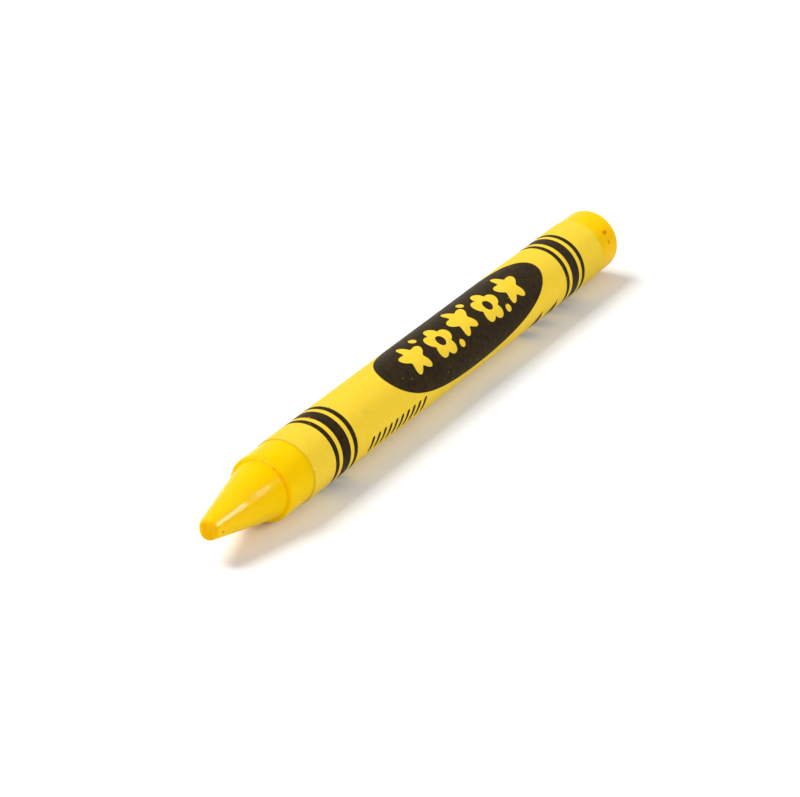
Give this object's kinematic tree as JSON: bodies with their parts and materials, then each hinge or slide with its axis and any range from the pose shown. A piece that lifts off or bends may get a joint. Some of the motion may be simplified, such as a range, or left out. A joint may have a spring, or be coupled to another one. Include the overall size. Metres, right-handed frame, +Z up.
{
  "type": "wax crayon",
  "caption": "Wax crayon with a blunt moulded cone tip, a rounded ledge and butt, and a printed paper label pasted round its straight body.",
  "frame": {"origin": "bottom centre of the lying crayon's box, on the surface that it lies on", "axes": "+X along the crayon from its nose towards its butt, +Z up"},
  "size_m": [0.09, 0.008, 0.008],
  "materials": {
    "wax": "moulded yellow wax, waxy semi-gloss",
    "paste": "thin dried starch paste, matt",
    "label": "uncoated yellow paper printed in one dark colour"
  },
  "bodies": {
    "root": {"wax_stick": "wax", "label_paste": "paste", "paper_label": "label"}
  },
  "joints": []
}
